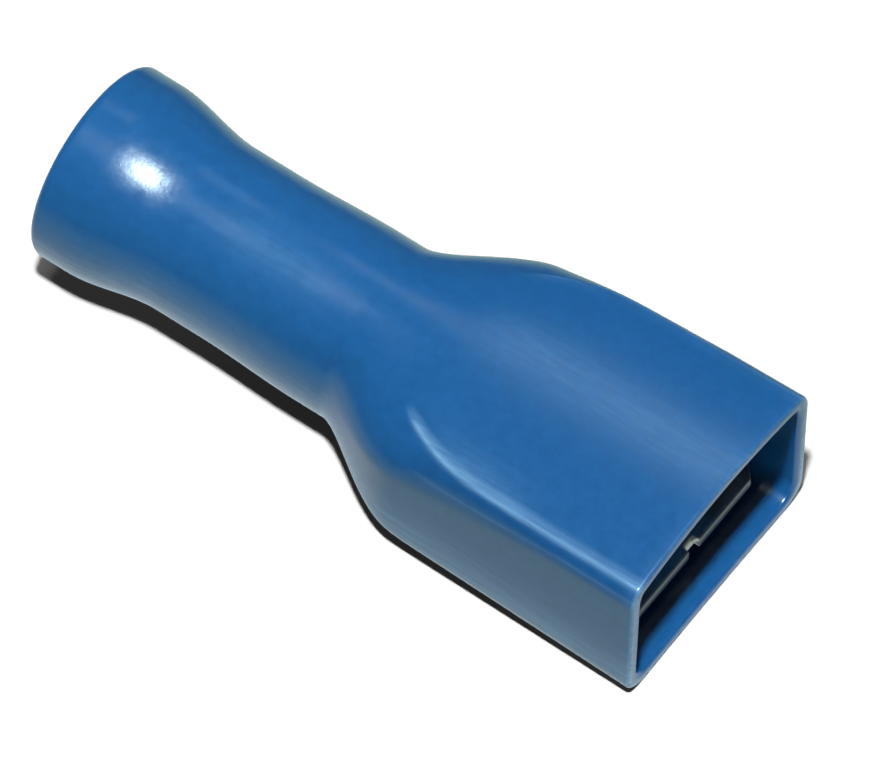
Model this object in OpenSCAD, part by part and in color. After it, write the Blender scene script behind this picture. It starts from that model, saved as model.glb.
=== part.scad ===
// Fully insulated female spade terminal: a moulded housing with a bell-mouthed wire barrel,
// and inside it one piece of rolled brass sheet that grips the tab and holds the wire.
// Millimetres. X runs along the part and points out of the mouth, Y is across, Z is up.
// The origin is the centre of the mouth, on the axis that the barrel and the mouth share.

/* [Housing: overall] */
// Length from the wire end to the mouth
overall_len = 22; // [21.5:0.1:24]
// Width of the box at the mouth
mouth_w = 8.7; // [8.6:0.05:9.2]
// Height of the box at the mouth
mouth_h = 5.34; // [5:0.02:5.6]
// Width of the box at its shoulder
shoulder_w = 8.5; // [8.44:0.02:9.2]
// Height of the box at its shoulder
shoulder_h = 4.96; // [4.7:0.02:5.3]
// How far the middle of the upper face stands above its edges
crown = 0.34; // [0:0.02:0.4]
// How far the mouth's edge is drawn back between its corners
mouth_hollow = 0.04; // [0.03:0.01:0.15]

/* [Housing: shoulder] */
// Distance from the mouth to where the barrel starts to widen
neck_at = 12; // [11.8:0.02:12.2]
// Distance from the mouth to where the box reaches its full width
box_at = 8.46; // [8.2:0.02:8.6]
// Distance from the mouth to where the box reaches its full height
flat_at = 7.8; // [7.6:0.05:8.2]
// How early the widening starts: 1 is even, less is earlier
widen_power = 0.8; // [0.7:0.05:1]

/* [Housing: corners] */
// Width of the rounded upper edge at the shoulder
edge_w_shoulder = 1.2; // [0.9:0.02:1.4]
// Depth of the rounded upper edge at the shoulder
edge_d_shoulder = 1.06; // [0.8:0.02:1.2]
// Width of the rounded upper edge at the mouth
edge_w_mouth = 0.38; // [0.34:0.02:0.6]
// Depth of the rounded upper edge at the mouth
edge_d_mouth = 0.62; // [0.4:0.02:0.8]
// Distance from the mouth to where the upper edge starts to round off further
edge_from = 3.7; // [3:0.1:5]
// Radius of the lower edges
lower_edge_r = 0.8; // [0.6:0.05:0.9]

/* [Housing: barrel] */
// Radius of the barrel behind the bell
barrel_r = 2.72; // [2.66:0.02:2.8]
// Radius of the barrel at the neck
neck_r = 2.83; // [2.8:0.01:2.9]
// Distance from the mouth to where the barrel starts to swell towards the neck
swell_from = 16.4; // [16:0.1:17]
// Distance from the mouth to where the swell is complete
swell_to = 13; // [12.6:0.1:13.4]
// Radius of the bell
bell_r = 3.15; // [3.1:0.01:3.3]
// Length of the bell's straight rim
bell_rim = 1.1; // [0.8:0.05:1.2]
// Length of the curve from the rim to the barrel
bell_curve = 2.9; // [2.6:0.1:3.2]
// Radius of the rim's rounded edge
rim_round = 0.2; // [0.1:0.05:0.25]

/* [Housing: inside] */
// Thickness of the side walls
wall_side = 0.45; // [0.4:0.01:0.46]
// Thickness of the upper and lower walls
wall_flat = 0.42; // [0.4:0.02:0.5]
// Radius of the bore that takes the wire with its insulation
entry_r = 2.15; // [2:0.05:2.2]
// Radius of the opening at the rim
trumpet_r = 2.68; // [2.5:0.02:2.75]
// Length of the opening's curve
trumpet_len = 1.6; // [1.2:0.1:2]
// Length of the funnel that leads the strands into the metal
funnel_len = 1.2; // [0.8:0.1:1.4]
// Radius of the funnel's narrow end
throat_r = 1.26; // [1.24:0.01:1.3]

/* [Terminal: sheet] */
// Thickness of the sheet
sheet = 0.4; // [0.38:0.01:0.42]
// Distance from the mouth to the front edge of the base
front_at = 0.8; // [0.6:0.05:1.1]

/* [Terminal: tab grip] */
// Width over the rolled edges
grip_w = 7.4; // [7.3:0.05:7.5]
// Height over the rolled edges
grip_h = 2.4; // [2.3:0.05:2.5]
// Length of the rolled edges
grip_len = 7.8; // [7.5:0.05:8]
// Gap for the tab, between the base and the free edges of the rolls
tab_gap = 0.75; // [0.7:0.01:0.78]
// Inner radius of the bend between the base and the side
bend_r = 0.3; // [0.25:0.05:0.4]
// Radius of the roll, to the middle of the sheet
roll_r = 0.85; // [0.8:0.01:0.9]
// How far the front of the rolls leans back at their top
front_lean = 0.7; // [0.4:0.05:0.9]
// How far the front corners are cut back at the sides
corner_cut = 0.9; // [0.6:0.1:1.2]
// Width of the front edge between the cut corners
front_w = 5.6; // [5.2:0.1:5.9]
// Width of the pilot notch in the front edge
notch_w = 0.5; // [0.45:0.05:0.6]
// Depth of the pilot notch
notch_depth = 0.35; // [0.3:0.05:0.5]
// Distance from the mouth to the middle of the locking dimple
dimple_at = 4.6; // [4:0.1:5]
// Height of the locking dimple
dimple_h = 0.22; // [0.15:0.01:0.25]
// Radius of the ball that presses the dimple
dimple_r = 1.2; // [1:0.1:1.5]

/* [Terminal: wire barrel] */
// Radius of the barrel's bore
wire_r = 1.2; // [1.15:0.01:1.22]
// Length of the wire barrel
wire_len = 5.2; // [5:0.1:5.4]
// Distance from the mouth to the front end of the wire barrel
wire_front_at = 11.5; // [11.4:0.05:11.6]
// Width of the butted seam
seam_w = 0.08; // [0.06:0.01:0.12]

/* [Hidden] */
housing_blue = "#2a6bb0";
tinned_brass = "#b9b6ad";

// Segments of the flats, the rounded edges and the sides of a ring
flat_segs = 8;
edge_segs = 7;
side_segs = 2;
// Segments of the rim's edge, the bell's curve, the swell and the opening's curve
rim_segs = 4;
bell_segs = 14;
swell_segs = 8;
trumpet_segs = 10;
// Segments of the bend and of the roll of the sheet
bend_segs = 6;
roll_segs = 20;
// Rings along the shoulder, along the cavity's shoulder and along the edges that taper towards the mouth
shoulder_rings = 20;
cavity_rings = 14;
taper_rings = 4;
round_fn = 96;
small_fn = 48;
mouth_fn = 1440;
// Angles that the flat and the side take up on the round end of the shoulder
flat_angle = 36;
side_angle = 14;
// How far one shape runs into the next where two are joined, and how far it is held off the surface
lap = 0.3;
skin = 0.01;
// How far a cut runs clear of what it cuts
clear = 1;

wire_rear_at = wire_front_at + wire_len;
seat_r = wire_r + sheet;
mouth_cut_r = mouth_w * mouth_w / (8 * mouth_hollow);
// Where the cavity ends, just behind the wire barrel's front end, and the radius of its round throat
cavity_end = wire_front_at + lap;
throat_of_cavity_r = seat_r + 0.35;

// Cubic ease from 0 to 1
function ease(t) = let (u = min(1, max(0, t))) u * u * (3 - 2 * u);
function mix(from, to, t) = from + (to - from) * t;
// Share of the way from the round neck to the box at station x
function widen(x) = ease(pow(max(0, (x + neck_at) / (neck_at - box_at)), widen_power));
// Share of the way from the round neck's height to the box's height
function flatten_to_box(x) = ease((x + neck_at) / (neck_at - flat_at));
// Share of the way from the shoulder to the mouth, carried on as a straight line
function along(x) = 1 + x / box_at;

// Closed ring of [y, z] points round a flat-sided section. half is [half width, half height], upper and
// lower are the [width, depth] of the rounded edges, and lift is the height of the crown.
function box_ring(half, upper, lower, lift) =
    let (top_y = half[0] - upper[0], low_y = half[0] - lower[0])
    let (top_z = half[1] - upper[1], low_z = lower[1] - half[1])
    concat(
        [for (i = [0 : flat_segs]) let (s = 1 - 2 * i / flat_segs)
            [top_y * s, half[1] + lift * (1 - s * s)]],
        [for (i = [1 : edge_segs - 1]) let (q = 90 + 90 * i / edge_segs)
            [-top_y + upper[0] * cos(q), top_z + upper[1] * sin(q)]],
        [for (i = [0 : side_segs]) [-half[0], mix(top_z, low_z, i / side_segs)]],
        [for (i = [1 : edge_segs - 1]) let (q = 180 + 90 * i / edge_segs)
            [-low_y + lower[0] * cos(q), low_z + lower[1] * sin(q)]],
        [for (i = [0 : flat_segs]) [low_y * (2 * i / flat_segs - 1), -half[1]]],
        [for (i = [1 : edge_segs - 1]) let (q = 270 + 90 * i / edge_segs)
            [low_y + lower[0] * cos(q), low_z + lower[1] * sin(q)]],
        [for (i = [0 : side_segs]) [half[0], mix(low_z, top_z, i / side_segs)]],
        [for (i = [1 : edge_segs - 1]) let (q = 90 * i / edge_segs)
            [top_y + upper[0] * cos(q), top_z + upper[1] * sin(q)]]
    );

// The angles at which the same points lie on a round section
ring_angles =
    let (edge_span = 90 - flat_angle - side_angle)
    concat(
        [for (i = [0 : flat_segs]) 90 + flat_angle * (2 * i / flat_segs - 1)],
        [for (i = [1 : edge_segs - 1]) 90 + flat_angle + edge_span * i / edge_segs],
        [for (i = [0 : side_segs]) 180 + side_angle * (2 * i / side_segs - 1)],
        [for (i = [1 : edge_segs - 1]) 180 + side_angle + edge_span * i / edge_segs],
        [for (i = [0 : flat_segs]) 270 + flat_angle * (2 * i / flat_segs - 1)],
        [for (i = [1 : edge_segs - 1]) 270 + flat_angle + edge_span * i / edge_segs],
        [for (i = [0 : side_segs]) side_angle * (2 * i / side_segs - 1)],
        [for (i = [1 : edge_segs - 1]) side_angle + edge_span * i / edge_segs]
    );
function round_ring(r) = [for (q = ring_angles) [r * cos(q), r * sin(q)]];

// The box's outside at station x, with its walls taken off when thin is 1 and left on when it is 0
function box_at_station(x, thin) =
    let (t = along(x), side = wall_side * thin, flat = wall_flat * thin)
    let (e = pow(min(1, max(0, (-x - edge_from) / (box_at - edge_from))), 2))
    box_ring(
        [mix(shoulder_w, mouth_w, t) / 2 - side, mix(shoulder_h, mouth_h, t) / 2 - flat],
        [mix(edge_w_mouth, edge_w_shoulder, e) - side / 2, mix(edge_d_mouth, edge_d_shoulder, e) - flat / 2],
        [lower_edge_r - side / 2, lower_edge_r - flat / 2],
        crown
    );
// Ring between two others, with its own share of the way across and up
function blend_rings(from, to, across, up) =
    [for (i = [0 : len(from) - 1]) [mix(from[i][0], to[i][0], across), mix(from[i][1], to[i][1], up)]];
function outer_ring(x) =
    blend_rings(round_ring(neck_r - skin), box_at_station(x, 0), widen(x), flatten_to_box(x));

// The cavity follows the outside
function cavity_ring(x) =
    let (t = ease((x + cavity_end) / (cavity_end - box_at)))
    blend_rings(round_ring(throat_of_cavity_r), box_at_station(x, 1), t, t);

// Solid through a list of stations, each with a ring of [y, z] points. The end of a sheet is closed by a
// strip across its thickness, and any other end by one face.
module loft(stations, rings, is_sheet = false) {
    n = len(rings[0]);
    last = len(stations) - 1;
    points = [for (k = [0 : last]) for (p = rings[k]) [stations[k], p[0], p[1]]];
    sides = [for (k = [0 : last - 1]) for (i = [0 : n - 1])
        let (a = k * n + i, b = k * n + (i + 1) % n) each [[a, a + n, b], [b, a + n, b + n]]];
    start = is_sheet
        ? [for (i = [0 : n / 2 - 2]) each [[i, i + 1, n - 1 - i], [i + 1, n - 2 - i, n - 1 - i]]]
        : [[for (i = [0 : n - 1]) i]];
    end = [for (face = start) [for (i = [len(face) - 1 : -1 : 0]) last * n + face[i]]];
    polyhedron(points, concat(sides, start, end));
}

// Turns a profile of [radius, x] points round the X axis
module turned(profile) {
    rotate([0, 90, 0]) rotate_extrude($fn = round_fn) polygon(profile);
}

module barrel_outside() {
    turned(concat(
        [[0, -overall_len]],
        [for (i = [0 : rim_segs]) let (q = 90 * i / rim_segs)
            [bell_r - rim_round + rim_round * sin(q), -overall_len + rim_round - rim_round * cos(q)]],
        [for (i = [0 : bell_segs]) let (t = i / bell_segs)
            [mix(bell_r, barrel_r, ease(t)), -overall_len + bell_rim + bell_curve * t]],
        [for (i = [0 : swell_segs]) let (t = i / swell_segs)
            [mix(barrel_r, neck_r, ease(t)), mix(-swell_from, -swell_to, t)]],
        [[neck_r, -neck_at], [0, -neck_at]]
    ));
}

module wire_way() {
    seat_end = -wire_rear_at;
    turned(concat(
        [[0, -overall_len - clear], [trumpet_r, -overall_len - clear]],
        [for (i = [0 : trumpet_segs]) let (t = i / trumpet_segs)
            [mix(trumpet_r, entry_r, sin(90 * t)), -overall_len + trumpet_len * t]],
        [[entry_r, seat_end - funnel_len], [throat_r, seat_end], [seat_r, seat_end],
         [seat_r, -cavity_end + lap], [0, -cavity_end + lap]]
    ));
}

module box_outside() {
    start = -neck_at - lap;
    stations = concat(
        [start],
        [for (i = [1 : shoulder_rings]) mix(-neck_at, -flat_at, i / shoulder_rings)],
        [for (i = [1 : taper_rings]) mix(-flat_at, -edge_from, i / taper_rings)],
        [0]
    );
    loft(stations, [for (x = stations) outer_ring(x)]);
}

module cavity() {
    stations = concat(
        [for (i = [0 : cavity_rings]) mix(-cavity_end, -box_at, i / cavity_rings)],
        [for (i = [1 : taper_rings]) mix(-box_at, -edge_from, i / taper_rings)],
        [clear]
    );
    loft(stations, [for (x = stations) cavity_ring(x)]);
}

module mouth_cut() {
    translate([mouth_cut_r - mouth_hollow, 0, -mouth_h]) cylinder(h = 2 * mouth_h, r = mouth_cut_r, $fn = mouth_fn);
}

module insulating_housing() {
    color(housing_blue)
    difference() {
        union() {
            barrel_outside();
            box_outside();
        }
        wire_way();
        cavity();
        mouth_cut();
    }
}

// Middle of the sheet: the base, and the walls and rolls that rise from it
base_z = -(grip_h - sheet) / 2;
wall_y = (grip_w - sheet) / 2;
bend_mid_r = bend_r + sheet / 2;
roll_z = grip_h / 2 - sheet / 2 - roll_r;
roll_y = wall_y - roll_r;
// The roll stops where its free edge leaves the tab's gap open above the base
roll_outer_r = roll_r + sheet / 2;
lip_drop = roll_z - (base_z + sheet / 2 + tab_gap);
roll_end_angle = 180 + asin(lip_drop / roll_outer_r);

// One half of the sheet's middle line, from the centre of the base to the free edge, as [y, z, angle of
// the outward side]
function rolled_half() = concat(
    [[0, base_z, -90]],
    [for (i = [0 : bend_segs]) let (q = -90 + 90 * i / bend_segs)
        [wall_y - bend_mid_r + bend_mid_r * cos(q), base_z + bend_mid_r + bend_mid_r * sin(q), q]],
    [for (i = [0 : roll_segs]) let (q = roll_end_angle * i / roll_segs)
        [roll_y + roll_r * cos(q), roll_z + roll_r * sin(q), q]]
);
function offset_line(line, by) = [for (p = line) [p[0] + by * cos(p[2]), p[1] + by * sin(p[2])]];
function reversed(list) = [for (i = [len(list) - 1 : -1 : 0]) list[i]];
function mirrored(list) = [for (p = list) [-p[0], p[1]]];

module rolled_profile() {
    outside = offset_line(rolled_half(), sheet / 2);
    inside = offset_line(rolled_half(), -sheet / 2);
    half = [for (i = [1 : len(outside) - 1]) i];
    outside_half = [for (i = half) outside[i]];
    inside_half = [for (i = half) inside[i]];
    polygon(concat(
        outside_half, reversed(inside_half), mirrored(inside_half), reversed(mirrored(outside_half))
    ));
}

// Extrudes a [y, z] profile along X between two stations
module along_x(from, to) {
    translate([from, 0, 0]) rotate([90, 0, 90]) linear_extrude(to - from) children();
}

// Cuts a [x, z] profile right across the grip
module across_grip(profile) {
    rotate([90, 0, 0]) translate([0, 0, -grip_w]) linear_extrude(2 * grip_w) polygon(profile);
}

module tab_grip() {
    front = -front_at;
    rear = front - grip_len;
    floor_z = base_z + sheet / 2;
    top_z = grip_h / 2;
    lead_in = 0.15;
    // The rolls end above this height, and the walls below it run on into the transition
    rear_cut_z = 0.2;
    rear_lean = 0.5;
    dimple_wall = 0.3;
    corner_slope = 2 * corner_cut / (grip_w - front_w);
    dimple_centre = [-dimple_at, 0, floor_z + dimple_h - dimple_r];
    difference() {
        union() {
            along_x(rear, front) rolled_profile();
            intersection() {
                translate(dimple_centre) sphere(dimple_r, $fn = small_fn);
                translate([-dimple_at - dimple_r, -dimple_r, base_z])
                    cube([2 * dimple_r, 2 * dimple_r, sheet + clear]);
            }
        }
        // Hollow of the dimple, pressed from below
        translate(dimple_centre) sphere(dimple_r - dimple_wall, $fn = small_fn);
        // Front of the rolls, which leans back so that the tab finds its way in
        across_grip([
            [front - lead_in, floor_z], [front + clear, floor_z - lead_in - clear],
            [front + clear, top_z + clear], [front - front_lean, top_z + clear], [front - front_lean, top_z]
        ]);
        // Front corners, cut off at an angle in the flat blank
        for (side = [-1, 1])
            translate([0, 0, base_z - clear]) linear_extrude(grip_h + 2 * clear) polygon([
                [front + clear, side * (front_w / 2 - clear / corner_slope)],
                [front + clear, side * (grip_w / 2 + clear / corner_slope)],
                [front - corner_cut - clear, side * (grip_w / 2 + clear / corner_slope)]
            ]);
        // Rear of the rolls
        across_grip([
            [rear - clear, rear_cut_z], [rear + lap / 3, rear_cut_z],
            [rear + lap / 3 + rear_lean, top_z + clear], [rear - clear, top_z + clear]
        ]);
        // Pilot notch in the front edge of the base
        translate([front - notch_depth + notch_w / 2, 0, base_z - clear]) {
            cylinder(h = 2 * clear, r = notch_w / 2, $fn = small_fn);
            translate([0, -notch_w / 2, 0]) cube([clear, notch_w, 2 * clear]);
        }
    }
}

// Open channel behind the grip, which draws in and closes to the wire barrel
transition_segs = 40;
transition_rings = 16;
channel_wall_top = 0;
open_angle = 9;
function channel_line() =
    let (low = base_z + bend_mid_r, flat = wall_y - bend_mid_r, bend = PI / 2 * bend_mid_r)
    let (wall = channel_wall_top - low, half_len = flat + bend + wall)
    [for (i = [0 : transition_segs]) let (s = half_len * (2 * i / transition_segs - 1), m = abs(s), side = s < 0 ? -1 : 1)
        m < flat ? [s, base_z]
        : m < flat + bend
            ? let (q = (m - flat) / bend_mid_r * 180 / PI)
              [side * (flat + bend_mid_r * sin(q)), low - bend_mid_r * cos(q)]
            : [side * wall_y, low + m - flat - bend]];
function barrel_line() = [for (i = [0 : transition_segs])
    let (q = -90 + (180 - open_angle) * (2 * i / transition_segs - 1))
    [(wire_r + sheet / 2) * cos(q), (wire_r + sheet / 2) * sin(q)]];
// Both sides of a sheet whose middle follows an open line of [y, z] points
function sheet_ring(line, half_t) =
    let (last = len(line) - 1)
    let (normals = [for (i = [0 : last])
        let (d = line[min(last, i + 1)] - line[max(0, i - 1)]) [d[1], -d[0]] / norm(d)])
    concat(
        [for (i = [last : -1 : 0]) line[i] - normals[i] * half_t],
        [for (i = [0 : last]) line[i] + normals[i] * half_t]
    );

module transition() {
    front = -front_at - grip_len + lap / 3;
    rear = -wire_front_at - lap / 3;
    stations = [for (i = [0 : transition_rings]) mix(rear, front, i / transition_rings)];
    round_line = barrel_line();
    wide_line = channel_line();
    loft(stations, [for (x = stations)
        let (t = ease((x + wire_front_at) / (wire_front_at - front_at - grip_len)))
        sheet_ring(blend_rings(round_line, wide_line, t, t), sheet / 2 - skin)], is_sheet = true);
}

module wire_barrel() {
    difference() {
        translate([-wire_rear_at, 0, 0]) rotate([0, 90, 0]) cylinder(h = wire_len, r = seat_r, $fn = round_fn);
        translate([-wire_rear_at - clear, 0, 0]) rotate([0, 90, 0])
            cylinder(h = wire_len + 2 * clear, r = wire_r, $fn = round_fn);
        translate([-wire_rear_at - clear, -seam_w / 2, 0]) cube([wire_len + 2 * clear, seam_w, seat_r + clear]);
    }
}

module receptacle_terminal() {
    color(tinned_brass) {
        tab_grip();
        transition();
        wire_barrel();
    }
}

insulating_housing();
receptacle_terminal();
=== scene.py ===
# %% [markdown]
# # A fully insulated female spade terminal
# The real part is two pieces. The blue housing is moulded in one shot: a bell for the wire, a round
# barrel, and a shoulder that spreads into a flat box with an open mouth. Inside it sits one strip of
# tinned brass, stamped and rolled so that it grips a flat tab at the front and holds the wire behind.
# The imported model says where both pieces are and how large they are, so it is loaded first, as a
# fixed frame. Everything below is fitted to it.

# %% Load the frame
import math

import bmesh
import bpy
from mathutils import Matrix, Vector


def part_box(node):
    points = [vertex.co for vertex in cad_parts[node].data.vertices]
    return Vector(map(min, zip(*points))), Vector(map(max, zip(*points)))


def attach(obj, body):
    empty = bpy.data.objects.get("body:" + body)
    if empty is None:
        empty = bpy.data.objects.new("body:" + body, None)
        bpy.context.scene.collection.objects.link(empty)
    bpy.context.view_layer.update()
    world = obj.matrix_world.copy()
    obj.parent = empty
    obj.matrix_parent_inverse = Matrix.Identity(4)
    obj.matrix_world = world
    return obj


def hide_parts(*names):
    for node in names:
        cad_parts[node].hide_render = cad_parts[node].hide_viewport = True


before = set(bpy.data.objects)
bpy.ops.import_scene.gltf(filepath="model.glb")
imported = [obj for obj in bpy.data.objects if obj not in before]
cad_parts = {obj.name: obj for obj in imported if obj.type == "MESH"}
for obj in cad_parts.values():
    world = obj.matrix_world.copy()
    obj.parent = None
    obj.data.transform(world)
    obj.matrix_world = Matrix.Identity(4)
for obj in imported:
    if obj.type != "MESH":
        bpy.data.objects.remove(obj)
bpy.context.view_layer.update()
MM = 0.001

# %% [markdown]
# ## The sizes
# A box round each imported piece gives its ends, its width and its height. The other sizes are those a
# toolmaker would write on the drawing: radii, wall thicknesses, and the stations along X where one
# form changes into the next. They are kept in millimetres until a mesh is finished. X points out of
# the mouth, Y is across and Z is up, and the mouth's centre is the origin.

# %% Sizes of the housing
housing_low, housing_high = (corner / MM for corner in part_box("insulating_housing"))
rim_x = housing_low.x
bell_r = housing_high.z

MOUTH_HALF = (4.35, 2.67)
SHOULDER_HALF = (4.25, 2.48)
CROWN = 0.34
MOUTH_HOLLOW, HOLLOW_LEN = 0.04, 1.2
NECK_X, BOX_X, FLAT_X = -12.0, -8.46, -7.8
WIDEN_POWER = 0.8
WALL_SIDE, WALL_FLAT = 0.45, 0.42

EDGE_REAR_X, EDGE_FRONT_X = -10.2, -2.6
EDGE_SHOULDER, EDGE_MOUTH = (1.75, 1.52), (0.36, 0.7)
EDGE_POWERS = (4, 0.6)
LOWER_EDGE = 0.8

BARREL_R, NECK_R = 2.72, 2.83
BELL_RIM, BELL_CURVE = 1.1, 2.9
SWELL_FROM, SWELL_TO = -16.4, -13.0
RIM_ROUND, LIP_ROUND, STEP_ROUND = 0.2, 0.12, 0.05
LIP_X = -0.4
print("rim at", round(rim_x, 2), "mm, bell radius", round(bell_r, 2), "mm")

# %% Sizes of the terminal
terminal_low, terminal_high = (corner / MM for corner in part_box("receptacle_terminal"))
front_x, wire_end_x = terminal_high.x, terminal_low.x
grip_half = terminal_high.y

SHEET = 0.4
GRIP_TOP, GRIP_LEN = 1.2, 7.8
TAB_GAP = 0.75
BEND_R, ROLL_R, EDGE_BREAK = 0.5, 0.85, 0.04
FRONT_LEAN, LEAN_POWER = 0.7, 4
CORNER_Y, CORNER_CUT = 2.8, 0.9
NOTCH_R, NOTCH_DEPTH = 0.25, 0.35
DIMPLE_X, DIMPLE_R, DIMPLE_H = -4.6, 0.7, 0.22
WIRE_R, WIRE_LEN = 1.2, 5.2
wire_front_x = wire_end_x + WIRE_LEN
print("terminal from", round(front_x, 2), "to", round(wire_end_x, 2), "mm")

# %% Sizes of the housing's inside, fitted to the terminal
SEAT_R = WIRE_R + SHEET
CAVITY_R = SEAT_R + 0.35
CAVITY_X = wire_front_x - 0.3
THROAT_R, FUNNEL_LEN = 1.26, 1.2
ENTRY_R, TRUMPET_R, TRUMPET_LEN = 2.15, 2.68, 1.6
print("cavity from", round(CAVITY_X, 2), "mm, seat radius", round(SEAT_R, 2), "mm")

# %% [markdown]
# ## Two curves used everywhere
# A moulded shape hardly ever changes with a corner: it starts slowly, runs and stops slowly. One
# easing curve and one mix between two values draw every blend of both pieces.

# %% Easing and mixing
def ease(t):
    """Runs from 0 to 1 with no slope at either end."""
    t = min(1.0, max(0.0, t))
    return t * t * (3 - 2 * t)


def fade(x, start, length):
    """Rises from 0 to 1 over a length from a station. A negative length looks back along X."""
    return ease((x - start) / length)


def mix(start, end, t):
    """The value a share t of the way from start to end."""
    return start + (end - start) * t


def steps(start, end, count):
    """Stations from start up to but not at end."""
    return [mix(start, end, i / count) for i in range(count)]


# %% [markdown]
# ## The housing's sections
# The housing is a sleeve. Cut anywhere along X, its outside is a circle, a flat-sided section with four
# rounded edges and a slightly crowned top, or something between the two. The upper edges start at a
# crease, where the top of the mould meets its sides, so points are set closer together there. Both
# kinds of section have the same number of points in the same order, so a section between them is a
# plain mix of the two, and the shoulder comes out as one smooth surface.

# %% Points round a section
FLAT_SHARES = [1, 0.98] + [0.9 - 0.1 * i for i in range(19)] + [-0.98, -1]
EDGE_SHARES = [0, 0.05] + [i / 12 for i in range(1, 13)]
SIDE_SEGS = 10
FLAT_ANGLE, SIDE_ANGLE = 36, 14
CREASE_ANGLE = 60


def arc(centre, radii, start, end):
    """Points along an elliptical edge, both ends included. Angles are in degrees."""
    angles = [math.radians(mix(start, end, share)) for share in EDGE_SHARES]
    return [(centre[0] + radii[0] * math.cos(a), centre[1] + radii[1] * math.sin(a)) for a in angles]


def mirrored(points):
    """The same run of points on the other side, in the order that goes on round."""
    return [(-y, z) for y, z in reversed(points)]


def box_section(half, upper, lower, crown):
    """A flat-sided section, from its upper right edge round by the left side."""
    top_y, side_top = half[0] - upper[0], half[1] - upper[1]
    low_y, side_low = half[0] - lower[0], lower[1] - half[1]
    wide = upper[0] / (1 - math.cos(math.radians(CREASE_ANGLE)))
    deep = upper[1] / math.sin(math.radians(CREASE_ANGLE))
    upper_left = arc((wide - half[0], side_top), (wide, deep), 180 - CREASE_ANGLE, 180)
    left = [(-half[0], mix(side_top, side_low, i / SIDE_SEGS)) for i in range(1, SIDE_SEGS)]
    lower_left = arc((-low_y, side_low), lower, 180, 270)
    points = [(top_y * s, half[1] + crown * (1 - s * s)) for s in FLAT_SHARES]
    points += upper_left[1:] + left + lower_left
    points += [(-low_y * s, -half[1]) for s in FLAT_SHARES[1:-1]]
    points += mirrored(lower_left) + mirrored(left) + mirrored(upper_left)[:-1]
    return points


def round_angles():
    """The angles at which the same points lie on a round section."""
    upper_left = [mix(90 + FLAT_ANGLE, 180 - SIDE_ANGLE, share) for share in EDGE_SHARES]
    left = [mix(180 - SIDE_ANGLE, 180 + SIDE_ANGLE, i / SIDE_SEGS) for i in range(1, SIDE_SEGS)]
    lower_left = [mix(180 + SIDE_ANGLE, 270 - FLAT_ANGLE, share) for share in EDGE_SHARES]
    angles = [90 - FLAT_ANGLE * share for share in FLAT_SHARES]
    angles += upper_left[1:] + left + lower_left
    angles += [270 - FLAT_ANGLE * share for share in FLAT_SHARES[1:-1]]
    angles += [540 - a for a in reversed(upper_left[1:] + left + lower_left)]
    return [math.radians(a) for a in angles]


ROUND_ANGLES = round_angles()


def round_section(radius):
    return [(radius * math.cos(a), radius * math.sin(a)) for a in ROUND_ANGLES]


def blend(first, second, across, up):
    """A section between two others, with its own share across and up."""
    return [(mix(a[0], b[0], across), mix(a[1], b[1], up)) for a, b in zip(first, second)]


print("points round a section:", len(round_section(1)), len(box_section((2, 2), (1, 1), (1, 1), 0)))

# %% [markdown]
# ## The outside and the inside at a station
# `thin` says how much of the wall has been taken off: 0 is the outside and 1 is the inside. The lip
# of the mouth is the stretch between them. The upper edges are broad and deep at the shoulder. Towards
# the mouth they get narrow early and shallow late, so each line of edge runs in a long curve.

# %% Sections along the housing
def box_at(x, thin):
    """The box's section at station x, with a share of its wall taken off."""
    t = 1 - x / BOX_X
    softness = fade(x, EDGE_FRONT_X, EDGE_REAR_X - EDGE_FRONT_X)
    side, flat = WALL_SIDE * thin, WALL_FLAT * thin
    half = (mix(SHOULDER_HALF[0], MOUTH_HALF[0], t) - side, mix(SHOULDER_HALF[1], MOUTH_HALF[1], t) - flat)
    upper = (
        mix(EDGE_MOUTH[0], EDGE_SHOULDER[0], softness ** EDGE_POWERS[0]) - side / 2,
        mix(EDGE_MOUTH[1], EDGE_SHOULDER[1], softness ** EDGE_POWERS[1]) - flat / 2,
    )
    lower = (LOWER_EDGE - side / 2, LOWER_EDGE - flat / 2)
    return box_section(half, upper, lower, CROWN)


def shoulder_at(x):
    """The outside from the round neck to the mouth."""
    widened = ease(max(0.0, (x - NECK_X) / (BOX_X - NECK_X)) ** WIDEN_POWER)
    flattened = fade(x, NECK_X, FLAT_X - NECK_X)
    return blend(round_section(NECK_R), box_at(x, 0), widened, flattened)


def cavity_at(x):
    """The inside from the round throat to the mouth."""
    t = fade(x, CAVITY_X, BOX_X - CAVITY_X)
    return blend(round_section(CAVITY_R), box_at(x, 1), t, t)


def barrel_radius(x):
    """The outside of the bell and the barrel, from the rim to the neck."""
    bell = fade(x, rim_x + BELL_RIM, BELL_CURVE)
    swell = fade(x, SWELL_FROM, SWELL_TO - SWELL_FROM)
    return mix(bell_r, BARREL_R, bell) + (NECK_R - BARREL_R) * swell


print("barrel radius in the middle:", round(barrel_radius(-17), 2), "mm")

# %% [markdown]
# ## The sleeve
# A list of rings runs along the outside, round the lip, back along the inside, and round the rim to
# where it began. One sheet of faces is wrapped round all of them and its edges are joined, first to
# last, so the sleeve is closed, with a hole through it, as the moulding is.

# %% Stations from the rim to the mouth and back
RIM_RINGS, BARREL_RINGS, SHOULDER_RINGS, BOX_RINGS, LIP_RINGS = 6, 90, 60, 40, 5
CAVITY_RINGS, THROAT_RINGS, FUNNEL_RINGS, TRUMPET_RINGS = 36, 30, 6, 12
RIM_CLEAR = 0.3


def corner(radius, count):
    """Steps round a corner from flat to upright: how far in and how far on, as lengths."""
    angles = [math.radians(90 * i / count) for i in range(count + 1)]
    return [(radius * (1 - math.cos(a)), radius * math.sin(a)) for a in angles]


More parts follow.
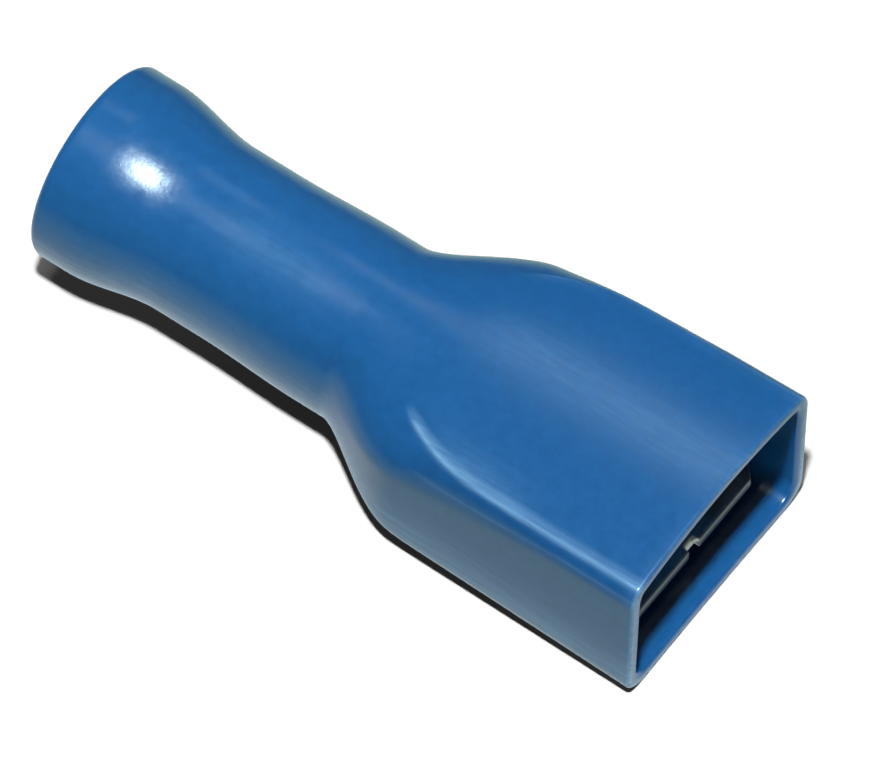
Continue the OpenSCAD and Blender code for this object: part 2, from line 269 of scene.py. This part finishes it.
def outside_rings():
    """Every ring of the outside as (x, section), from the rim to the front of the lip."""
    rings = []
    for drawn_in, forward in reversed(corner(RIM_ROUND, RIM_RINGS)):
        rings.append((rim_x + RIM_ROUND - forward, round_section(bell_r - drawn_in)))
    for x in steps(rim_x + RIM_CLEAR, NECK_X, BARREL_RINGS):
        rings.append((x, round_section(barrel_radius(x))))
    for x in steps(NECK_X, FLAT_X, SHOULDER_RINGS) + steps(FLAT_X, LIP_X, BOX_RINGS):
        rings.append((x, shoulder_at(x)))
    for drawn_in, forward in corner(LIP_ROUND, LIP_RINGS):
        rings.append((forward - LIP_ROUND, box_at(0, drawn_in / WALL_SIDE)))
    return rings


def inside_rings():
    """Every ring of the inside, from the front of the lip back to the rim."""
    rings = []
    for drawn_in, forward in reversed(corner(LIP_ROUND, LIP_RINGS)):
        rings.append((forward - LIP_ROUND, box_at(0, 1 - drawn_in / WALL_SIDE)))
    for x in steps(LIP_X, BOX_X, CAVITY_RINGS) + steps(BOX_X, CAVITY_X, THROAT_RINGS) + [CAVITY_X]:
        rings.append((x, cavity_at(x)))
    return rings + seat_rings() + entry_rings()


def seat_rings():
    """The seat of the wire barrel, with its two small steps."""
    profile = (
        (CAVITY_X - STEP_ROUND / 2, CAVITY_R - STEP_ROUND),
        (CAVITY_X - STEP_ROUND / 2, SEAT_R + STEP_ROUND),
        (CAVITY_X - STEP_ROUND, SEAT_R),
        (wire_end_x + STEP_ROUND / 2, SEAT_R),
        (wire_end_x, SEAT_R - STEP_ROUND),
        (wire_end_x, THROAT_R + STEP_ROUND),
        (wire_end_x - STEP_ROUND, THROAT_R),
    )
    return [(x, round_section(radius)) for x, radius in profile]


def entry_rings():
    """The wire's way in: a funnel behind the seat, then a trumpet that opens to the rim."""
    funnel_end = wire_end_x - FUNNEL_LEN
    rings = []
    for x in steps(wire_end_x, funnel_end, FUNNEL_RINGS)[1:] + [funnel_end - STEP_ROUND]:
        share = min(1, (wire_end_x - x) / FUNNEL_LEN)
        rings.append((x, round_section(mix(THROAT_R, ENTRY_R, share))))
    for i in range(TRUMPET_RINGS + 1):
        t = 1 - i / TRUMPET_RINGS
        radius = mix(TRUMPET_R, ENTRY_R, math.sin(math.pi / 2 * t))
        rings.append((rim_x + TRUMPET_LEN * t, round_section(radius)))
    return rings


print("rings outside and inside:", len(outside_rings()), len(inside_rings()))

# %% [markdown]
# ### Where the housing is painted pale
# Parts of this kind travel loose in a bag and rub on each other, which leaves some scuffing, but most
# of the pale here is painted light: thin painted highlight lines along the upper edges of the box, a
# fainter painted highlight line lower down the near edge, a soft pale patch just inside the near edge,
# painted light coming through the thin lip, painted highlight streaks on the crown of the top and on
# the top of the barrel, and painted light low on each side. How much is painted is kept on the
# vertices as an attribute, so that the finish can follow the shape. Every place has an amount and a
# width in mm, or in degrees round the barrel. Where it fades along X, a pair gives the station and
# the length of the fade.

# %% Amounts of painted highlight and scuffing
FAR_EDGE, NEAR_EDGE = 0, len(FLAT_SHARES) - 1
SIDE_LINE = NEAR_EDGE + 8
NEAR_FOOT = NEAR_EDGE + len(EDGE_SHARES) - 1 + SIDE_SEGS + 4

# Painted highlights and light: lines on the edges, a fainter line lower on the near edge, the lip's light,
# streaks on the crown and the barrel, and light low on the sides.
EDGE_HIGHLIGHT, NEAR_WIDTH, FAR_SHARE, FAR_WIDTH = 0.72, 0.1, 0.25, 0.07
EDGE_FADE = (-9.1, 0.9)
SIDE_LINE_HIGHLIGHT, SIDE_LINE_WIDTH = 0.16, 0.07
SIDE_LINE_FADE = (-8.2, 1.2)
SHOULDER_PALE, SHOULDER_WIDTH, SHOULDER_X, SHOULDER_LEN = 0.2, 0.8, -6.0, 1.6
LIP_GLOW, LIP_MIDDLE, LIP_SIDE = 0.6, 0.3, 0.7
LIP_FADE, LIP_SIDE_FADE = (-0.16, 0.16), (3.9, 0.3)
FOOT_LIGHT, FOOT_WIDTH = 0.56, 1.2
CROWN_HIGHLIGHT, CROWN_Y, CROWN_WIDTH = 0.15, 0.6, 0.85
CROWN_FADE = (-9.6, 2.5)
BARREL_HIGHLIGHT, BARREL_ANGLE, BARREL_WIDTH = 0.1, 110, 13
BARREL_FADES = ((-17.6, 2.0), (-12.2, -1.5))
print("point at the near edge:", NEAR_EDGE, "at the seam:", SIDE_LINE, "at the foot:", NEAR_FOOT)

# %% Painted highlight and scuffing at a point
def falloff(distance, width):
    """1 at no distance, fading like a bell curve."""
    return math.exp(-((distance / width) ** 2))


def painted_edge_highlights(x, section, point):
    """Painted highlight lines on the upper edges and lower down the near edge, and the soft pale patch
    inside the near edge.
    """
    to_near = math.dist(point, section[NEAR_EDGE])
    far = FAR_SHARE * falloff(math.dist(point, section[FAR_EDGE]), FAR_WIDTH)
    # Painted highlight lines along the upper edges, and a fainter one lower on the near edge.
    edges = EDGE_HIGHLIGHT * (falloff(to_near, NEAR_WIDTH) + far) * fade(x, *EDGE_FADE)
    side_line = SIDE_LINE_HIGHLIGHT * falloff(math.dist(point, section[SIDE_LINE]), SIDE_LINE_WIDTH) * fade(x, *SIDE_LINE_FADE)
    on_top = point[1] > 0 and point[0] > section[NEAR_EDGE][0]
    patch = falloff(to_near, SHOULDER_WIDTH) * falloff(x - SHOULDER_X, SHOULDER_LEN) if on_top else 0
    return edges + side_line + SHOULDER_PALE * patch


def wear_and_highlight_at(x, section, point):
    """How much a point of the outside is painted pale, mostly as highlight and light, from 0 to 1."""
    y, z = point
    lip = fade(x, *LIP_FADE) * (LIP_MIDDLE + LIP_SIDE * fade(abs(y), *LIP_SIDE_FADE))
    foot_y, foot_z = section[NEAR_FOOT]
    foot = falloff(math.dist((abs(y), z), (abs(foot_y), foot_z)), FOOT_WIDTH)
    crown = falloff(y - CROWN_Y, CROWN_WIDTH) * fade(x, *CROWN_FADE) if z > 0 else 0
    barrel = falloff(math.degrees(math.atan2(z, y)) - BARREL_ANGLE, BARREL_WIDTH)
    for barrel_fade in BARREL_FADES:
        barrel *= fade(x, *barrel_fade)
    # Painted light on the lip and low on the sides, and painted highlight streaks on the crown and the
    # barrel.
    broad = LIP_GLOW * lip + FOOT_LIGHT * foot + CROWN_HIGHLIGHT * crown + BARREL_HIGHLIGHT * barrel
    return min(1.0, painted_edge_highlights(x, section, point) + broad)


# %% [markdown]
# ### The housing's mesh
# The grid's long side runs from ring to ring and its short side goes round them. The mouth's edge is
# then drawn back a little between its corners, as the moulding's is.

# %% Housing
def wrap(outside, inside):
    """A grid of faces bent round the rings, closed round each and from the last to the first."""
    bm = bmesh.new()
    rings = outside + inside
    around, along = len(rings[0][1]), len(rings)
    bmesh.ops.create_grid(bm, x_segments=around, y_segments=along, size=0.5)
    # The attribute holds painted highlight and light, with a little scuffing, for each vertex of the
    # outside.
    wear_and_highlight = bm.verts.layers.float.new("wear_and_highlight")
    for vert in bm.verts:
        ring = round((vert.co.y + 0.5) * along) % along
        x, section = rings[ring]
        point = section[round((vert.co.x + 0.5) * around) % around]
        vert.co = (x, *point)
        vert[wear_and_highlight] = wear_and_highlight_at(x, section, point) if ring < len(outside) else 0.0
    bmesh.ops.remove_doubles(bm, verts=bm.verts, dist=0.0001)
    return bm


def new_piece(name, bm, node):
    """Turns a finished bmesh in millimetres into a piece of the object."""
    bmesh.ops.scale(bm, vec=(MM, MM, MM), verts=bm.verts)
    mesh = bpy.data.meshes.new(name)
    bm.to_mesh(mesh)
    bm.free()
    mesh.polygons.foreach_set("use_smooth", [True] * len(mesh.polygons))
    piece = bpy.data.objects.new(name, mesh)
    bpy.context.scene.collection.objects.link(piece)
    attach(piece, "root")
    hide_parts(node)
    print(name, "has", len(mesh.polygons), "faces")
    return piece


def draw_back_mouth(bm):
    """Draws the mouth's edge back between its corners, fading out behind the lip."""
    for vert in bm.verts:
        nearness = fade(vert.co.x, -HOLLOW_LEN, HOLLOW_LEN)
        if nearness > 0:
            vert.co.x -= MOUTH_HOLLOW * nearness * (1 - (vert.co.y / MOUTH_HALF[0]) ** 2)


def make_housing():
    bm = wrap(outside_rings(), inside_rings())
    draw_back_mouth(bm)
    bmesh.ops.recalc_face_normals(bm, faces=bm.faces)
    return new_piece("housing_shell", bm, "insulating_housing")


housing = make_housing()

# %% [markdown]
# ## The terminal
# The real one starts as a flat blank cut from plated strip, and a press bends it: the sides turn up,
# the front sides roll over to make the springs that grip the tab, and the rear closes to a tube for
# the wire. The mesh is made in the same order. A grid is the blank, its vertices are moved on to the
# bent line, and the rolls are spun from the tops of the walls. Solidify then gives the sheet its
# thickness, and Bevel breaks the sheared edges.

# %% The bent line of the sheet
BASE_Z = -GRIP_TOP + SHEET / 2
WALL_Y = grip_half - SHEET / 2
CHANNEL_TOP = 0.0
ROLL_Z = GRIP_TOP - SHEET / 2 - ROLL_R
OPEN_ANGLE = 9
grip_rear_x = front_x - GRIP_LEN


def channel_point(share):
    """A point on the open channel's line. share is -1 at the left wall's top and 1 at the right's."""
    flat = WALL_Y - BEND_R
    bend = math.pi / 2 * BEND_R
    wall = CHANNEL_TOP - BASE_Z - BEND_R
    length, side = abs(share) * (flat + bend + wall), math.copysign(1, share)
    if length < flat:
        return side * length, BASE_Z
    if length < flat + bend:
        angle = (length - flat) / BEND_R
        return side * (flat + BEND_R * math.sin(angle)), BASE_Z + BEND_R * (1 - math.cos(angle))
    return side * WALL_Y, BASE_Z + BEND_R + length - flat - bend


def tube_point(share):
    """The point on the wire barrel's line that the same share of the strip comes to."""
    angle = math.radians(-90 + (180 - OPEN_ANGLE) * share)
    radius = WIRE_R + SHEET / 2
    return radius * math.cos(angle), radius * math.sin(angle)


def bent(x, share):
    """Where a point of the blank lies once the sheet is bent."""
    closed = 1 - fade(x, wire_front_x, grip_rear_x - wire_front_x)
    wide, tube = channel_point(share), tube_point(share)
    return x, mix(wide[0], tube[0], closed), mix(wide[1], tube[1], closed)


print("the blank is", round(2 * (WALL_Y + CHANNEL_TOP - BASE_Z), 2), "mm across before the rolls")

# %% Notch, dimple and front corners
CLOSE = 0.005


def set_back(vert):
    """Pilot notch, locking dimple, the rolls' front that leans back, and the cut front corners."""
    x, y, z = vert.co
    if abs(x - front_x) < CLOSE and abs(y) < NOTCH_R + CLOSE and z < 0:
        vert.co.x = front_x - NOTCH_DEPTH + NOTCH_R - math.sqrt(max(0, NOTCH_R ** 2 - y * y))
    away = math.hypot(x - DIMPLE_X, y) / DIMPLE_R
    if away < 1 and z < 0:
        vert.co.z += DIMPLE_H * (1 - away ** 2) ** 1.5
    lean = FRONT_LEAN * (z - BASE_Z - SHEET / 2) / (2 * GRIP_TOP - SHEET)
    cut = CORNER_CUT * (abs(y) - CORNER_Y) / (grip_half - CORNER_Y)
    if x > grip_rear_x:
        vert.co.x -= max(lean, cut, 0) * ((x - grip_rear_x) / GRIP_LEN) ** LEAN_POWER


# %% [markdown]
# ### Blank and rolls
# The dimple and the notch are pressed in last, once the rolls are spun, so that the corners can be
# cut through rolls and walls together.

# %% Terminal
COLUMNS, GRIP_ROWS, CLOSING_ROWS, WIRE_ROWS, ROLL_STEPS = 96, 60, 24, 12, 24
WELD = 0.001


def lies_at(edge, z):
    """Whether both ends of an edge are at a height."""
    return all(abs(vert.co.z - z) < WELD for vert in edge.verts)


def tops_grip_wall(edge, side):
    """Whether an edge is the top of the grip's wall on one side, where a roll starts."""
    ends_here = all(side * vert.co.y > 0 and vert.co.x > grip_rear_x - CLOSE for vert in edge.verts)
    return ends_here and lies_at(edge, CHANNEL_TOP)


def roll_up(bm):
    """Raises the grip's walls to the rolls' height and spins each roll over, inwards and down."""
    lip_drop = ROLL_Z - (BASE_Z + SHEET / 2 + TAB_GAP)
    turn = math.pi + math.asin(lip_drop / (ROLL_R + SHEET / 2))
    for side in (-1, 1):
        wall_top = [edge for edge in bm.edges if edge.is_boundary and tops_grip_wall(edge, side)]
        raised = bmesh.ops.extrude_edge_only(bm, edges=wall_top)["geom"]
        verts = [item for item in raised if isinstance(item, bmesh.types.BMVert)]
        for vert in verts:
            vert.co.z = ROLL_Z
        edges = [item for item in raised if isinstance(item, bmesh.types.BMEdge) and lies_at(item, ROLL_Z)]
        bmesh.ops.spin(
            bm, geom=verts + edges, cent=(0, side * (WALL_Y - ROLL_R), ROLL_Z),
            axis=(side, 0, 0), angle=turn, steps=ROLL_STEPS, use_merge=False,
        )


def make_terminal():
    bm = bmesh.new()
    rows = steps(front_x, grip_rear_x, GRIP_ROWS) + steps(grip_rear_x, wire_front_x, CLOSING_ROWS)
    rows += steps(wire_front_x, wire_end_x, WIRE_ROWS) + [wire_end_x]
    made = bmesh.ops.create_grid(bm, x_segments=COLUMNS, y_segments=len(rows) - 1, size=1)
    for vert in made["verts"]:
        share, row = vert.co.x, round((vert.co.y + 1) / 2 * (len(rows) - 1))
        vert.co = bent(rows[row], share)
    roll_up(bm)
    bmesh.ops.remove_doubles(bm, verts=bm.verts, dist=WELD)
    bmesh.ops.recalc_face_normals(bm, faces=bm.faces)
    for vert in bm.verts:
        set_back(vert)
    return new_piece("terminal_sheet", bm, "receptacle_terminal")


terminal = make_terminal()

# %% [markdown]
# ## Materials
# Colours are written as they would be picked on a screen, so one function turns them into the
# linear values that the shader wants. One helper adds a node, with its settings and its links, and
# every material below is read as a list of what its surface is made of.

# %% Colour and node helpers
def linear(hex_colour, alpha=1.0):
    """An sRGB hex colour as linear red, green, blue and alpha."""
    parts = [int(hex_colour[i:i + 2], 16) / 255 for i in (1, 3, 5)]
    return [c / 12.92 if c <= 0.04045 else ((c + 0.055) / 1.055) ** 2.4 for c in parts] + [alpha]


def add_node(tree, kind, inputs=None, **settings):
    """A node with its settings. An input is a value, or another node's output to link."""
    node = tree.nodes.new(kind)
    for name, value in settings.items():
        setattr(node, name, value)
    for name, value in (inputs or {}).items():
        if isinstance(value, bpy.types.NodeSocket):
            tree.links.new(value, node.inputs[name])
        else:
            node.inputs[name].default_value = value
    return node


def noise(tree, place, size, detail, roughness=0.5):
    """Noise with blotches of about a given size, as a value round one half."""
    inputs = {"Vector": place, "Scale": 1 / size, "Detail": detail, "Roughness": roughness}
    return add_node(tree, "ShaderNodeTexNoise", inputs).outputs["Fac"]


def spread(tree, value, start, end):
    """Turns one range of a value into another. Each range is a pair."""
    names = ("From Min", "From Max", "To Min", "To Max")
    inputs = {"Value": value, **dict(zip(names, (*start, *end)))}
    return add_node(tree, "ShaderNodeMapRange", inputs).outputs["Result"]


def stretch(tree, place, factor):
    """Coordinates that draw a pattern out along X. The factor is its width over its length."""
    return add_node(tree, "ShaderNodeMapping", {"Vector": place, "Scale": (factor, 1, 1)}).outputs["Vector"]


def mix_colours(tree, share, first, second):
    inputs = {0: share, 6: first, 7: second}
    return add_node(tree, "ShaderNodeMix", inputs, data_type="RGBA").outputs[2]


def bump(tree, height, strength, depth):
    inputs = {"Height": height, "Strength": strength, "Distance": depth}
    return add_node(tree, "ShaderNodeBump", inputs).outputs["Normal"]


def surface(tree, output, inputs):
    """A principled shader with its inputs, on the material's output."""
    shader = add_node(tree, "ShaderNodeBsdfPrincipled", inputs)
    tree.links.new(shader.outputs["BSDF"], output.inputs["Surface"])


def new_material(name):
    """An empty node tree with an output and the object's own coordinates."""
    material = bpy.data.materials.new(name)
    material.use_nodes = True
    tree = material.node_tree
    tree.nodes.clear()
    output = add_node(tree, "ShaderNodeOutputMaterial")
    place = add_node(tree, "ShaderNodeTexCoord").outputs["Object"]
    return material, tree, output, place


# The box's blue is the same nylon with painted shade; the pale blue is for painted highlights and light,
# with a little scuffing.
BARREL_BLUE, SHADED_BOX_BLUE, WEAR_AND_HIGHLIGHT_BLUE = linear("#1c66a6"), linear("#175f9e"), linear("#82b8e0")
print("the box's blue in linear light:", [round(c, 3) for c in SHADED_BOX_BLUE])

# %% [markdown]
# ### Moulded nylon
# The housing is nylon, moulded in a polished steel tool. It comes out satin rather than glossy,
# because the skin shrinks unevenly as it cools: that breaks a highlight up into soft, mottled patches
# a few tenths of a millimetre across. Light goes a little way in before it comes out again, which
# softens the thin lips. The box's blue is painted a shade deeper than the barrel's, as painted shade
# for the dark cavity behind its thin wall. The pale painted highlights, with a little scuffing, are
# streaked along the part by a scuff pattern.

# %% Housing material
def make_nylon():
    material, tree, output, place = new_material("moulded_blue_nylon")
    mottle_size, scuff_width, scuff_length = 0.35 * MM, 0.14 * MM, 2.0 * MM
    mottle = noise(tree, place, mottle_size, 4, 0.65)
    scuffs = noise(tree, stretch(tree, place, scuff_width / scuff_length), scuff_width, 2)

    # The blue: painted shade makes it deeper over the box, and it is a little uneven.
    on_barrel, on_box = -15 * MM, -7 * MM
    along = add_node(tree, "ShaderNodeSeparateXYZ", {"Vector": place}).outputs["X"]
    painted_shade_share = spread(tree, along, (on_barrel, on_box), (0, 1))
    blue = mix_colours(tree, painted_shade_share, BARREL_BLUE, SHADED_BOX_BLUE)
    shade = spread(tree, mottle, (0.3, 0.7), (0.9, 1.06))
    uneven = add_node(tree, "ShaderNodeVectorMath", {0: blue, "Scale": shade}, operation="SCALE")

    # The painted highlight and light, with a little scuffing: as much as the vertices say, broken up by the
    # scuffs.
    wear_and_highlight = add_node(tree, "ShaderNodeAttribute", attribute_name="wear_and_highlight").outputs["Fac"]
    patchy = spread(tree, scuffs, (0.35, 0.65), (0.72, 1.2))
    highlight_and_scuff = add_node(tree, "ShaderNodeMath", {0: wear_and_highlight, 1: patchy}, operation="MULTIPLY", use_clamp=True)

    surface(tree, output, {
        "Base Color": mix_colours(tree, highlight_and_scuff.outputs["Value"], uneven.outputs["Vector"], WEAR_AND_HIGHLIGHT_BLUE),
        "Roughness": spread(tree, mottle, (0.3, 0.7), (0.2, 0.27)),
        "Normal": bump(tree, mottle, 0.3, 0.02 * MM),
        "IOR": 1.53,
        "Subsurface Weight": 0.35,
        "Subsurface Radius": (0.2, 0.6, 1.0),
        "Subsurface Scale": 0.5 * MM,
    })
    return material


nylon = make_nylon()
housing.data.materials.append(nylon)
# Light thrown back by the floor passes the housing by, so no blue is cast on the paper.
housing.visible_diffuse = False
print("housing material:", nylon.name)

# %% [markdown]
# ### Tinned brass
# The strip is brass with a thin bright tin plate. Rolling leaves fine lines along the strip, and the
# press cuts it after plating, so the sheared edges show bare brass.

# %% Terminal materials
def make_tin():
    """Bright plate that has dulled a little in clouds, over the brass's rolling lines."""
    material, tree, output, place = new_material("tin_plated_brass")
    line_spacing, line_stretch, cloud_size = 0.06 * MM, 0.04, 1.5 * MM
    rolling = noise(tree, stretch(tree, place, line_stretch), line_spacing, 2)
    cloud = noise(tree, place, cloud_size, 3)
    colour = add_node(tree, "ShaderNodeValToRGB", {"Fac": cloud})
    colour.color_ramp.elements[0].color = linear("#a8a59e")
    colour.color_ramp.elements[1].color = linear("#c2bfb7")
    surface(tree, output, {
        "Base Color": colour.outputs["Color"],
        "Metallic": 1.0,
        "Roughness": spread(tree, rolling, (0, 1), (0.22, 0.42)),
        "Normal": bump(tree, rolling, 0.3, 0.004 * MM),
    })
    return material


def make_shaded_sheared_brass():
    """A cut edge: torn, dull and a little yellow, and painted darker still as painted shade for the shade
    it lies in inside the mouth.
    """
    material, tree, output, place = new_material("sheared_brass_edge")
    tearing_size = 0.08 * MM
    tearing = noise(tree, place, tearing_size, 2)
    surface(tree, output, {
        # Painted shade: the edge's colour is darker than bare brass.
        "Base Color": linear("#757164"),
        "Metallic": 1.0,
        "Roughness": 0.38,
        "Normal": bump(tree, tearing, 0.4, 0.008 * MM),
    })
    return material


tin, shaded_sheared_brass = make_tin(), make_shaded_sheared_brass()
terminal.data.materials.append(tin)
terminal.data.materials.append(shaded_sheared_brass)


def give_thickness(piece):
    """Thickens the bent sheet to both sides, and breaks its sheared edges."""
    solid = piece.modifiers.new("sheet thickness", "SOLIDIFY")
    solid.thickness = SHEET * MM
    solid.offset = 0
    solid.use_even_offset = True
    solid.material_offset_rim = 1
    broken = piece.modifiers.new("broken edges", "BEVEL")
    broken.width = EDGE_BREAK * MM
    broken.segments = 2
    broken.limit_method = "ANGLE"
    broken.angle_limit = math.radians(50)


give_thickness(terminal)
print("terminal materials:", tin.name, "and", shaded_sheared_brass.name)

# %% [markdown]
# ## Floor, lamps, world and camera
# The part lies on its bell's rim and on the lower edge of its mouth, so the floor is tilted a little
# to touch both. It is white paper, seen evenly white. What the plastic mirrors of it is a painted
# reflection: to mirror rays the paper is a glowing sheet, pale near the part and darker with distance,
# which paints a pale band low on the barrel and on the near side. The light thrown back from it is a
# painted pool of light: its colour for bounced light is bright close by, where it fills the underside,
# and darker further off.

# %% White paper
REACH = 30 * MM
# Painted reflection: the glowing shades that mirror rays see, by distance from the part.
PAINTED_MIRROR_PAPER = ((0, "#d8ecff"), (0.155, "#e8f6f6"), (0.22, "#d0ead4"), (0.43, "#b0ceb2"), (1, "#3c4040"))
# Painted pool of light: the paper's colour for bounced light, bright within a few mm of the part.
PAINTED_BOUNCE_PAPER = ((0.13, "#f4f4ec"), (0.16, "#94948a"))


def shades(tree, share, stops):
    """A colour that runs through shades, each at its share of the way."""
    node = add_node(tree, "ShaderNodeValToRGB", {"Fac": share})
    elements = node.color_ramp.elements
    elements[0].position, elements[-1].position = stops[0][0], stops[-1][0]
    for position, _ in stops[1:-1]:
        elements.new(position)
    for element, (_, shade) in zip(elements, stops):
        element.color = linear(shade)
    return node.outputs["Color"]


def choose(tree, is_so, otherwise, then):
    """One of two shaders, by a kind of ray."""
    return add_node(tree, "ShaderNodeMixShader", {"Fac": is_so, 1: otherwise, 2: then}).outputs[0]


def make_paper():
    """Paper that is seen white, with a painted pool of bounced light near the part and a glowing painted
    reflection that fades with distance.
    """
    material, tree, output, place = new_material("white_paper")
    rays = add_node(tree, "ShaderNodeLightPath").outputs
    across = add_node(tree, "ShaderNodeSeparateXYZ", {"Vector": place}).outputs["Y"]
    away = add_node(tree, "ShaderNodeMath", {0: across}, operation="ABSOLUTE").outputs["Value"]
    share = spread(tree, away, (0, REACH), (0, 1))
    seen = add_node(tree, "ShaderNodeBsdfDiffuse", {"Color": linear("#ffffff")}).outputs[0]
    # A painted pool of light for bounced rays, and a glowing painted reflection for mirror rays.
    painted_bounce = add_node(tree, "ShaderNodeBsdfDiffuse", {"Color": shades(tree, share, PAINTED_BOUNCE_PAPER)}).outputs[0]
    painted_reflection = add_node(tree, "ShaderNodeEmission", {"Color": shades(tree, share, PAINTED_MIRROR_PAPER)}).outputs[0]
    unseen = choose(tree, rays["Is Glossy Ray"], painted_bounce, painted_reflection)
    tree.links.new(choose(tree, rays["Is Camera Ray"], unseen, seen), output.inputs["Surface"])
    return material


# %% Floor
FLOOR_HALF, FLOOR_GAP = 3, 0.01 * MM


def make_floor(material):
    """A wide sheet that touches the bell's rim and the mouth's lower edge."""
    bm = bmesh.new()
    bmesh.ops.create_grid(bm, x_segments=1, y_segments=1, size=FLOOR_HALF)
    rear_foot = Vector((rim_x + BELL_RIM, -bell_r)) * MM
    front_foot = Vector((-MOUTH_HOLLOW, -MOUTH_HALF[1])) * MM
    slope = math.atan2(front_foot.y - rear_foot.y, front_foot.x - rear_foot.x)
    bmesh.ops.rotate(bm, verts=bm.verts, cent=(0, 0, 0), matrix=Matrix.Rotation(-slope, 3, "Y"))
    bmesh.ops.translate(bm, verts=bm.verts, vec=(front_foot.x, 0, front_foot.y - FLOOR_GAP))
    mesh = bpy.data.meshes.new("floor")
    bm.to_mesh(mesh)
    bm.free()
    mesh.materials.append(material)
    floor = bpy.data.objects.new("floor", mesh)
    bpy.context.scene.collection.objects.link(floor)
    return math.degrees(slope)


print("floor tilted by", round(make_floor(make_paper()), 2), "degrees")

# %% [markdown]
# ### Lamps
# One small lamp hangs almost straight above. It draws the narrow dark line under the barrel and gives
# the even blue of the top. What shines is set apart from what lights, so that each can be placed on
# its own: a narrow cool lamp for the round spot on the bell, two weak ones for the long streaks on
# the barrel and the top, and a wide fill that leaves no mark on the gloss.

# %% Lamps
LAMP_AWAY = 0.9
GLOSS_TINT = (0.8, 0.97, 1.0)


def add_lamp(name, toward, size, power):
    """A lamp that shines at the part from a direction. Its size is along X and along Y."""
    data = bpy.data.lights.new(name, "AREA")
    data.shape = "RECTANGLE"
    data.size, data.size_y = size
    data.energy = power
    lamp = bpy.data.objects.new(name, data)
    direction = Vector(toward).normalized()
    across = Vector((0, 1, 0)).cross(direction).normalized()
    turn = Matrix((across, direction.cross(across), direction)).transposed().to_4x4()
    middle = Vector((rim_x / 2 * MM, 0, 0))
    lamp.matrix_world = Matrix.Translation(direction * LAMP_AWAY + middle) @ turn
    lamp.visible_camera = False
    bpy.context.scene.collection.objects.link(lamp)
    return lamp


key_lamp = add_lamp("key_lamp", (0.11, -0.24, 0.96), (0.05, 0.05), 8.4)
key_gloss = add_lamp("key_gloss", (0.19, -0.18, 0.96), (0.025, 0.34), 19.0)
near_gloss = add_lamp("near_gloss", (-0.28, -0.2, 0.94), (0.1, 0.3), 0.22)
far_gloss = add_lamp("far_gloss", (-0.28, 0.49, 0.82), (0.06, 0.16), 0.1)
far_fill = add_lamp("far_fill", (-0.1, 0.5, 0.86), (0.4, 0.4), 0.9)
for lamp in (key_gloss, near_gloss, far_gloss):
    lamp.visible_diffuse = False
    lamp.data.color = GLOSS_TINT
for lamp in (key_lamp, far_fill):
    lamp.visible_glossy = False
    # With it, rays that the housing lets by would find these lamps and lighten the shadow.
    lamp.data.cycles.use_multiple_importance_sampling = False
print("lamps:", [lamp.name for lamp in (key_lamp, key_gloss, near_gloss, far_gloss, far_fill)])

# %% [markdown]
# ### World and camera
# Behind everything is white. To the part itself, the room is dim, so that its shaded sides stay dark
# and its shadow stays black. The camera stands far off with a long lens, and so draws the part almost
# without perspective. Its distances are in millimetres.

# %% World
SKY_TO_CAMERA, SKY_TO_GLOSS, SKY_TO_DIFFUSE = 1.0, 0.12, 0.025


def make_world():
    """White behind everything, and a dim room that weakly lights and is weakly mirrored."""
    world = bpy.data.worlds.new("studio")
    bpy.context.scene.world = world
    world.use_nodes = True
    tree = world.node_tree
    tree.nodes.clear()
    rays = add_node(tree, "ShaderNodeLightPath").outputs
    through = {0: rays["Is Glossy Ray"], 1: rays["Is Transmission Ray"]}
    mirrors = add_node(tree, "ShaderNodeMath", through, operation="MAXIMUM").outputs["Value"]
    room = add_node(tree, "ShaderNodeMix", {0: mirrors, 2: SKY_TO_DIFFUSE, 3: SKY_TO_GLOSS}).outputs[0]
    strength = add_node(tree, "ShaderNodeMix", {0: rays["Is Camera Ray"], 2: room, 3: SKY_TO_CAMERA})
    shown = {"Color": linear("#ffffff"), "Strength": strength.outputs[0]}
    sky = add_node(tree, "ShaderNodeBackground", shown)
    add_node(tree, "ShaderNodeOutputWorld", {"Surface": sky.outputs[0]})
    return world


print("world:", make_world().name)

# %% Camera
CAMERA_FROM = Vector((0.2798, -0.4516, 0.8472))
CAMERA_UP = Vector((-0.5037, 0.6822, 0.53))
CAMERA_AWAY = 513
CAMERA_TARGET = Vector((-8.61, -1.32, 2.14))
VIEW_WIDTH = 25.38


def add_camera():
    data = bpy.data.cameras.new("camera")
    data.sensor_width = 36
    data.lens = data.sensor_width * CAMERA_AWAY / VIEW_WIDTH
    data.clip_start, data.clip_end = 0.01, 10
    camera = bpy.data.objects.new("camera", data)
    place = CAMERA_FROM.normalized() * CAMERA_AWAY
    back = (place - CAMERA_TARGET).normalized()
    right = CAMERA_UP.cross(back).normalized()
    up = back.cross(right)
    turn = Matrix((right, up, back)).transposed().to_4x4()
    camera.matrix_world = Matrix.Translation(place * MM) @ turn
    bpy.context.scene.collection.objects.link(camera)
    bpy.context.scene.camera = camera
    return data


print("lens, mm:", round(add_camera().lens))

# %% [markdown]
# ## Finish
# The view transform is Standard, so a colour shows as it was written.

# %% Finish
bpy.context.scene.view_settings.view_transform = "Standard"
